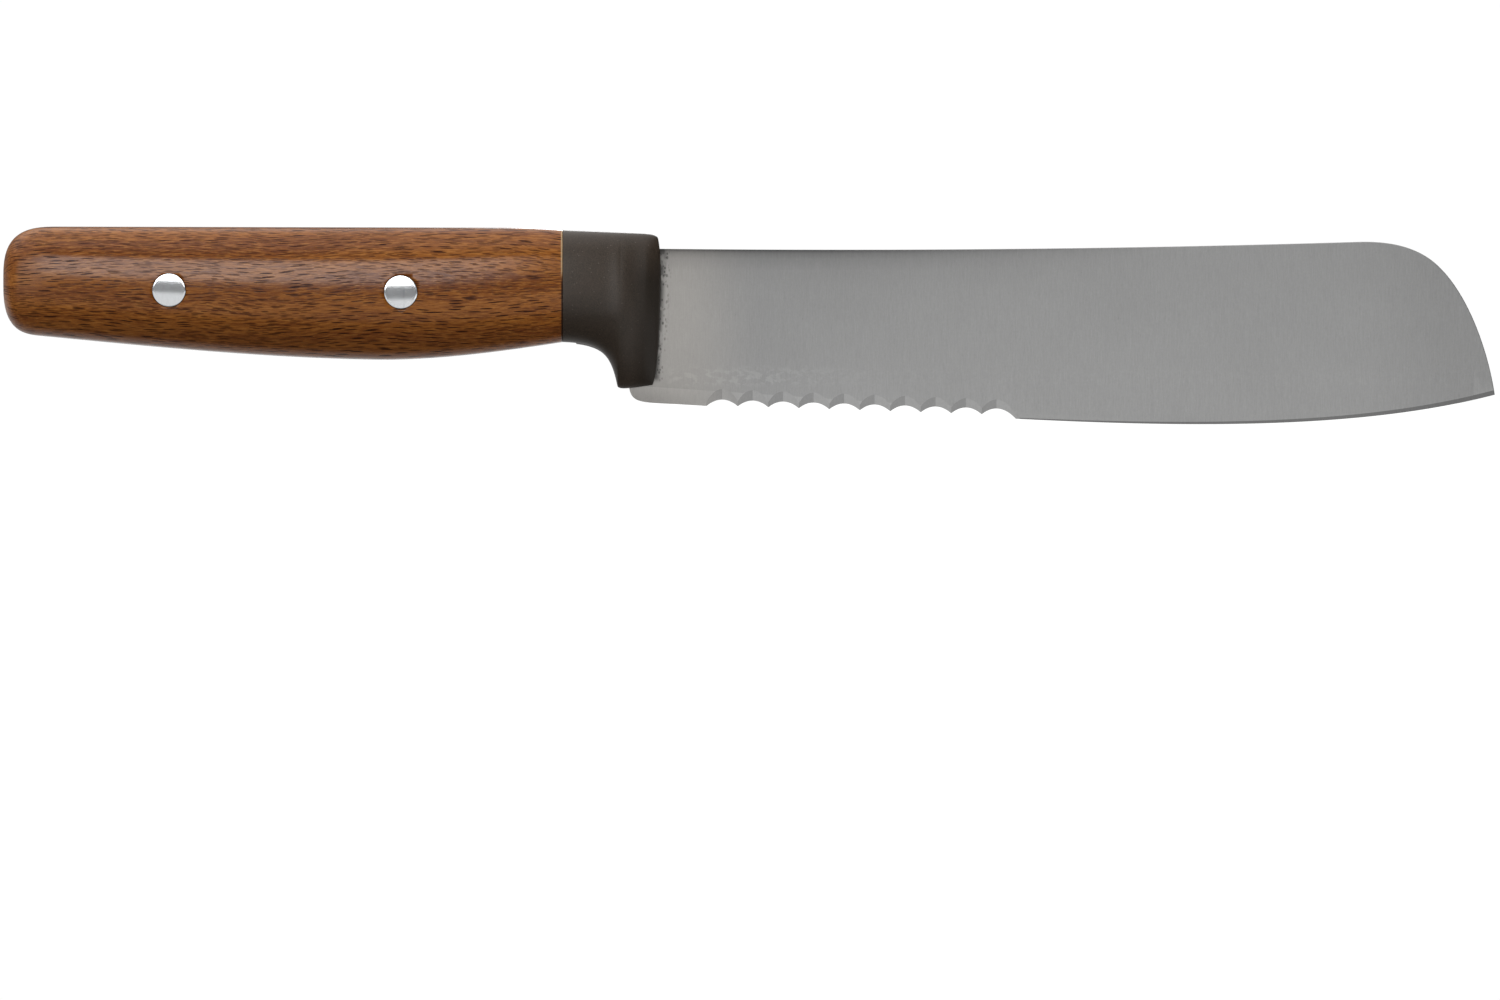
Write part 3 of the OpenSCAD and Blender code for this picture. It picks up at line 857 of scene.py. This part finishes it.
def steel_material():
    """Satin steel with fine grind lines that run from the spine to the edge."""
    s = Shader("ground_steel")
    # Light and shade painted into the mesh, which scale the steel's brightness
    painted_light = s.node("ShaderNodeAttribute", attribute_name="painted_light").outputs["Fac"]
    # Grind lines, cloudiness and speckle, brighter by the bolster and darker at the tip
    fine = s.noise(s.stretched((9.0, 9.0, 0.45)), 3.0, 0.65)
    broad = s.noise(s.stretched((2.6, 2.6, 0.16)), 3.0, 0.6)
    cloud = s.noise(s.stretched((0.05, 0.05, 0.05)), 2.0)
    speckle = s.noise(s.stretched((2.4, 2.4, 2.0), (6, 2, 5)), 2.0, 0.7)
    level = s.add(s.times(s.add(fine, -0.5), 0.30), s.times(s.add(broad, -0.5), 0.12))
    level = s.add(level, s.times(s.add(speckle, -0.5), 0.14))
    level = s.add(level, s.times(s.add(cloud, -0.5), 0.08))
    near_bolster = s.step(s.x, BOLSTER_X + 23, BOLSTER_X + 3)
    level = s.add(s.add(1.0, level), s.times(near_bolster, 0.23))
    level = s.add(level, s.step(s.x, TIP_X - 35, TIP_X - 2, 0.0, -0.10))

    # Smudges where the blade was wiped, in a band above the scallops
    smudge = s.noise(s.stretched((0.55, 0.55, 0.9), (2, 0, 4)), 3.0, 0.6)
    wiped = s.times(s.step(s.z, -24.5, -26.8), s.step(s.z, -30.0, -28.4))
    fading = s.step(s.x, BOLSTER_X + 49, BOLSTER_X + 19, 0.15, 1.0)
    wiped = s.times(wiped, s.times(s.step(s.x, BOLSTER_X + 0.5, BOLSTER_X + 3), fading))
    level = s.add(level, s.times(s.times(s.step(smudge, 0.47, 0.58), wiped), 0.13))

    # Dark specks of old residue along the bolster's leaning front edge, and a patchy film there that
    # is part residue and part painted shadow
    from_edge = s.add(s.x, s.add(-(BOLSTER_X + 0.3), s.times(s.z, -0.055)))
    grain = s.cells(s.stretched((1.7, 1.7, 1.1)))
    patchy = s.step(s.noise(s.stretched((0.7, 0.7, 0.35), (3, 1, 7))), 0.36, 0.52)
    specks = s.times(s.times(s.step(grain, 0.50, 0.26), s.step(from_edge, 2.6, 0.6)), patchy)
    # The film hugging the edge is partly residue and partly painted shadow where the steel meets the
    # bolster
    edge_film_and_shadow = s.times(s.step(from_edge, 1.5, 0.2), s.step(patchy, 0.0, 1.0, 0.4, 0.9))
    soiled_and_shadowed = s.times(s.math("MAXIMUM", specks, edge_film_and_shadow), s.step(s.z, -29.0, -27.5))
    level = s.times(s.times(level, s.add(1.0, s.times(soiled_and_shadowed, -0.75))), painted_light)

    tint = s.mix(near_bolster, (0.302, 0.302, 0.300), (0.312, 0.301, 0.286))
    color = s.mix(1.0, tint, s.gray(level), "MULTIPLY")
    rough = s.add(0.30, s.times(s.add(fine, -0.5), 0.10))
    return s.finish(Base_Color=color, Metallic=1.0, Roughness=rough, Anisotropic=0.65,
                    Tangent=s.vector(1.0), Normal=s.bump(fine, 0.004, 0.5))


def wood_material():
    """Stained beech: lengthwise streaks, short dark pores and a satin oil finish."""
    s = Shader("stained_beech")
    sway = s.times(s.add(s.noise(s.stretched((0.022, 0.06, 0.06)), 2.0), -0.5), 7.0)
    lifted = s.add(s.z, sway)
    # The pores' sheets lean outwards above and below the middle, so that no pore is drawn out,
    # and the shift gives the two scales different pores
    out = s.add(s.math("ABSOLUTE", s.y), -PALM_W / 2)
    lean = s.step(s.z, -13.0, -3.0, 0.6, -0.6)
    shift = s.step(s.y, -0.1, 0.1, 0.0, 37.0)
    across = s.add(s.add(lifted, s.times(out, lean)), shift)
    grain = s.vector(s.x, s.y, lifted)
    sheets = s.vector(s.x, across, 0.0)

    bands = s.noise(s.stretched((0.012, 0.30, 0.30), (5, 0, 2), grain), 3.0, 0.55)
    streaks = s.noise(s.stretched((0.06, 1.5, 1.5), (1, 4, 9), grain), 4.0, 0.65)
    flecks = s.noise(s.stretched((0.24, 2.8, 1.0), (7, 7, 1), sheets), 2.0, 0.6)
    fibres = s.noise(s.stretched((0.32, 3.8, 3.8), (2, 8, 3), grain), 3.0, 0.7)

    body = s.mix(s.step(bands, 0.32, 0.68), srgb(118, 62, 13), srgb(148, 88, 29))
    body = s.mix(s.times(s.step(streaks, 0.45, 0.68), 0.55), body, srgb(94, 44, 9))
    body = s.mix(s.times(s.step(flecks, 0.50, 0.68), 0.35), body, srgb(168, 108, 46))
    body = s.mix(s.times(s.step(flecks, 0.48, 0.34), 0.20), body, srgb(80, 35, 7))
    body = s.mix(s.times(s.step(fibres, 0.5, 0.66), 0.48), body, srgb(72, 31, 7))
    body = s.mix(s.times(s.step(fibres, 0.5, 0.34), 0.50), body, srgb(178, 118, 54))
    # Painted shade makes the wood a little darker low down
    body = s.mix(s.step(s.z, -12.0, -19.0, 0.0, 0.30), body, srgb(62, 24, 5))

    # Long pores and finer short ones, each clearer where the other is fainter
    thick = s.noise(s.stretched((0.03, 0.16, 0.16), (4, 2, 6), grain), 2.0)
    long_pores = s.cells(s.stretched((0.14, 1.55, 1.0), (0, 3, 0), sheets), "2D")
    short_pores = s.cells(s.stretched((0.24, 2.0, 1.0), (9, 1, 0), sheets), "2D")
    pores = s.times(s.step(long_pores, 0.23, 0.17), s.step(thick, 0.36, 0.58, 0.6, 1.0))
    fine_pores = s.times(s.step(short_pores, 0.22, 0.16), s.step(thick, 0.62, 0.40, 0.1, 0.75))
    dark = s.math("MAXIMUM", pores, fine_pores)
    body = s.mix(dark, body, srgb(44, 16, 4))
    # A painted highlight on the wood's last edge above, and painted shade where it closes to a dark seam
    # below
    end_rim_light_and_shade = s.step(s.x, HANDLE_LEN - 0.45, HANDLE_LEN - 0.15)
    body = s.mix(s.times(end_rim_light_and_shade, s.step(s.z, -7.0, -4.0, 0.0, 0.6)), body, srgb(210, 186, 146))
    body = s.mix(s.times(end_rim_light_and_shade, s.step(s.z, -5.0, -8.0, 0.0, 0.9)), body, srgb(34, 18, 8))

    height = s.add(s.times(dark, -1.0), s.times(fibres, 0.35))
    rough = s.add(0.15, s.add(s.times(dark, 0.05), s.times(s.add(fibres, -0.5), 0.06)))
    # The butt is rubbed matt
    rough = s.add(rough, s.step(s.x, 13.0, 2.0, 0.0, 0.22))
    shine = s.step(dark, 0.0, 1.0, 0.29, 0.10)
    return s.finish(Base_Color=body, Roughness=rough, IOR=1.5, Specular_IOR_Level=shine,
                    Normal=s.bump(height, 0.006, 0.5))


def plastic_material():
    """Dark brown-grey plastic with the fine matt grain of its mould."""
    s = Shader("bolster_plastic")
    grain = s.noise(s.stretched((4.5, 4.5, 4.5)), 3.0, 0.7)
    blotch = s.noise(s.stretched((0.35, 0.35, 0.35)), 2.0)
    speck = s.cells(s.stretched((0.8, 0.8, 0.8)))
    color = s.mix(s.step(grain, 0.35, 0.65), srgb(38, 29, 19), srgb(62, 50, 38))
    color = s.mix(s.times(s.step(blotch, 0.4, 0.7), 0.3), color, srgb(60, 47, 38))
    color = s.mix(s.times(s.step(speck, 0.13, 0.05), 0.5), color, srgb(108, 96, 88))
    # Painted shade on the guard's front and on the lower part: darker and less dusty, with less shine
    forward = s.times(s.step(s.x, BOLSTER_X - 11, BOLSTER_X - 1.5), s.step(s.z, 2.0, -8.0, 0.2, 0.85))
    downward = s.step(s.z, -6.0, -15.0, 0.0, 0.45)
    painted_shade = s.math("MAXIMUM", forward, downward)
    color = s.mix(painted_shade, color, srgb(24, 18, 11))
    rough = s.add(0.43, s.times(s.add(grain, -0.5), 0.25))
    shine = s.step(painted_shade, 0.0, 1.0, 0.42, 0.22)
    return s.finish(Base_Color=color, Roughness=rough, IOR=1.5, Specular_IOR_Level=shine,
                    Normal=s.bump(grain, 0.03, 0.6))


# Place of a fine upright scratch that crosses the front rivet's heads
SCRATCH_X = 86.1


def aluminium_material():
    """Aluminium ground flush with the wood, with fine upright grind lines."""
    s = Shader("rivet_aluminium")
    lines = s.noise(s.stretched((11.0, 11.0, 0.5)), 3.0, 0.65)
    scratch = s.step(s.math("ABSOLUTE", s.add(s.x, -SCRATCH_X)), 0.05, 0.02)
    level = s.step(lines, 0.2, 0.8, 0.82, 0.96)
    level = s.times(level, s.add(1.0, s.times(scratch, -0.25)))
    color = s.mix(1.0, (0.96, 0.98, 1.0), s.gray(level), "MULTIPLY")
    rough = s.step(lines, 0.2, 0.8, 0.12, 0.15)
    return s.finish(Base_Color=color, Metallic=1.0, Roughness=rough, Anisotropic=0.8,
                    Tangent=s.vector(1.0), Normal=s.bump(lines, 0.002, 0.1))


# ---------------------------------------------------------------- the knife

rivet_places = {name: drawn_centre(name + "_rivet_stem") for name in ("rear", "front")}


def add_piece(piece, material, node):
    """Gives a piece its finish and its body, and hides the CAD node that it stands for."""
    piece.data.materials.clear()
    piece.data.materials.append(material)
    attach(piece, "root")
    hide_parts(node)


def build_knife():
    """Makes every piece of the knife and puts it in place of its CAD node."""
    steel = steel_material()
    plastic = plastic_material()
    wood = wood_material()
    aluminium = aluminium_material()

    blade = make_blade()
    through = (-2 * HALF_STOCK, 2 * HALF_STOCK)
    holes = [cross_pin(x, z, TUBE_R + HEAD_GAP, *through) for x, z in rivet_places.values()]
    holes += [cross_pin(LOCK_X, -depth, LOCK_D / 2, *through) for depth in LOCK_DEPTHS]
    cut(blade, *holes)
    discard(*holes)
    add_piece(make_bolster(blade), plastic, "bolster")
    add_piece(blade, steel, "blade")

    for name, side in (("right", -1), ("left", 1)):
        scale = make_scale(name + "_wood_scale", side, list(rivet_places.values()))
        add_piece(scale, wood, name + "_scale")
    for name, (x, z) in rivet_places.items():
        stem = make_rivet(name + "_stem_rivet", x, z, -1, False)
        add_piece(stem, aluminium, name + "_rivet_stem")
        tube = make_rivet(name + "_tube_rivet", x, z, 1, True)
        add_piece(tube, aluminium, name + "_rivet_tube")


build_knife()

# ---------------------------------------------------------------- studio

knife_low, knife_high = cad_box
knife_centre = (knife_low + knife_high) / 2
knife_len = knife_high.x - knife_low.x

# The camera stands far back, level with the knife's middle and AIM_SIDE towards the tip. It aims
# at AIM_BELOW under the knife's middle, so it looks slightly down. LENS and SENSOR are in mm
LENS = 400.0
SENSOR = 36.0
VIEW_WIDTH = 1.006 * knife_len
AIM_SIDE = 0.0005 * knife_len
AIM_BELOW = 0.1171 * knife_len

# Two softboxes, one in front and one behind, SOFTBOX_DISTANCE metres away. The angles are in
# degrees, as seen from the knife: turn from the camera's direction, height of the middle, and
# width and height of the box
SOFTBOX_TURNS = {"front_softbox": -8.75, "back_softbox": 171.25}
SOFTBOX_HEIGHT = 14.9
SOFTBOX_SPAN = 22.5
SOFTBOX_RISE = 22.2
SOFTBOX_DISTANCE = 1.3
# Lights are given as what a surface sees, where a white sheet is 1
SOFTBOX_LIGHT = 5.4
# The dome's light, from the horizon to overhead: height of the direction, and light
DOME = ((0.0, 0.18), (0.10, 0.25), (0.50, 0.32), (0.80, 1.9))
# The dome's light is times the first number towards the butt and the second towards the tip. It
# changes evenly for directions whose x is within DOME_SIDE_REACH
DOME_SIDES = (1.35, 0.45)
DOME_SIDE_REACH = 0.7
# The floor's light across the handle's side, at y from the knife's middle, in metres. Between the
# two places in BLADE_SIDE, at x from the middle, it changes to the even light under the blade
FLOOR_LIGHT = ((-0.085, 0.60), (-0.060, 0.10), (-0.006, 0.10), (0.0, 0.80))
FLOOR_UNDER_BLADE = 1.0
BLADE_SIDE = (-0.016, -0.008)
RAMP_MIDDLE = 0.5
# The floor's own gray, and in metres its radius and how far below the knife it lies
FLOOR_SHADE = 0.10
FLOOR_RADIUS = 1.0
FLOOR_GAP = 0.0002
# What the camera sees of the world and of the floor, where 1 is white
WORLD_SEEN = 1.02
FLOOR_SEEN = 0.96


def add_camera():
    """A long lens, so that the knife is seen from the side with hardly any perspective."""
    data = bpy.data.cameras.new("camera")
    data.lens = LENS
    data.sensor_width = SENSOR
    camera = bpy.data.objects.new("camera", data)
    bpy.context.scene.collection.objects.link(camera)
    distance = VIEW_WIDTH * LENS / SENSOR
    camera.location = knife_centre + Vector((AIM_SIDE, -distance, 0))
    aim = knife_centre + Vector((AIM_SIDE, 0, -AIM_BELOW))
    camera.rotation_euler = (aim - camera.location).to_track_quat("-Z", "Y").to_euler()
    bpy.context.scene.camera = camera


def add_softbox(name, turn):
    """A soft light aimed at the knife; turn is its direction, and 0 is the camera's."""
    a, e = math.radians(turn), math.radians(SOFTBOX_HEIGHT)
    data = bpy.data.lights.new(name, "AREA")
    data.shape = "RECTANGLE"
    data.size = 2 * SOFTBOX_DISTANCE * math.tan(math.radians(SOFTBOX_SPAN / 2))
    data.size_y = 2 * SOFTBOX_DISTANCE * math.tan(math.radians(SOFTBOX_RISE / 2))
    data.energy = SOFTBOX_LIGHT * math.pi * data.size * data.size_y
    light = bpy.data.objects.new(name, data)
    bpy.context.scene.collection.objects.link(light)
    away = Vector((math.sin(a) * math.cos(e), -math.cos(a) * math.cos(e), math.sin(e)))
    light.location = knife_centre + away * SOFTBOX_DISTANCE
    light.rotation_euler = (-away).to_track_quat("-Z", "Y").to_euler()
    light.visible_camera = False


def add_world():
    """White to the camera; to the knife, dim near the horizon and bright overhead."""
    world = bpy.data.worlds.new("studio")
    bpy.context.scene.world = world
    world.use_nodes = True
    n = Nodes(world.node_tree)
    x, _, z = n.axes(n.node("ShaderNodeTexCoord").outputs["Generated"])
    scaled = n.node("ShaderNodeVectorMath", operation="SCALE")
    n.link(n.ramp(z, DOME), scaled.inputs[0])
    n.link(n.slope(x, -DOME_SIDE_REACH, DOME_SIDE_REACH, *DOME_SIDES), scaled.inputs["Scale"])
    light = n.seen_by_camera(scaled.outputs[0], WORLD_SEEN)
    n.link(light, n.tree.nodes["Background"].inputs["Color"])


def floor_material():
    """Pale and lit from within, like a light table."""
    material = bpy.data.materials.new("pale_floor")
    material.use_nodes = True
    n = Nodes(material.node_tree)
    x, y, _ = n.axes(n.node("ShaderNodeTexCoord").outputs["Object"])
    # A ramp runs from 0 to 1, so the knife's middle is put at RAMP_MIDDLE
    stops = [(RAMP_MIDDLE + position, light) for position, light in FLOOR_LIGHT]
    under_handle = n.ramp(n.add(y, RAMP_MIDDLE), stops)
    glow = n.mix(n.slope(x, *BLADE_SIDE), under_handle, (FLOOR_UNDER_BLADE,) * 3)
    surface = n.tree.nodes["Principled BSDF"].inputs
    n.link(1.0, surface["Roughness"])
    n.link(0.0, surface["Specular IOR Level"])
    n.link((FLOOR_SHADE,) * 3, surface["Base Color"])
    n.link(1.0, surface["Emission Strength"])
    n.link(n.seen_by_camera(glow, FLOOR_SEEN), surface["Emission Color"])
    return material


def add_floor():
    """A wide disc just under the knife."""
    bm = bmesh.new()
    bmesh.ops.create_circle(bm, cap_ends=True, segments=ROUND_STEPS, radius=FLOOR_RADIUS)
    mesh = bpy.data.meshes.new("floor")
    bm.to_mesh(mesh)
    bm.free()
    floor = bpy.data.objects.new("floor", mesh)
    bpy.context.scene.collection.objects.link(floor)
    floor.location = (knife_centre.x, knife_centre.y, knife_low.z - FLOOR_GAP)
    floor.data.materials.append(floor_material())


add_camera()
for name, turn in SOFTBOX_TURNS.items():
    add_softbox(name, turn)
add_world()
add_floor()
bpy.context.scene.view_settings.view_transform = "Standard"
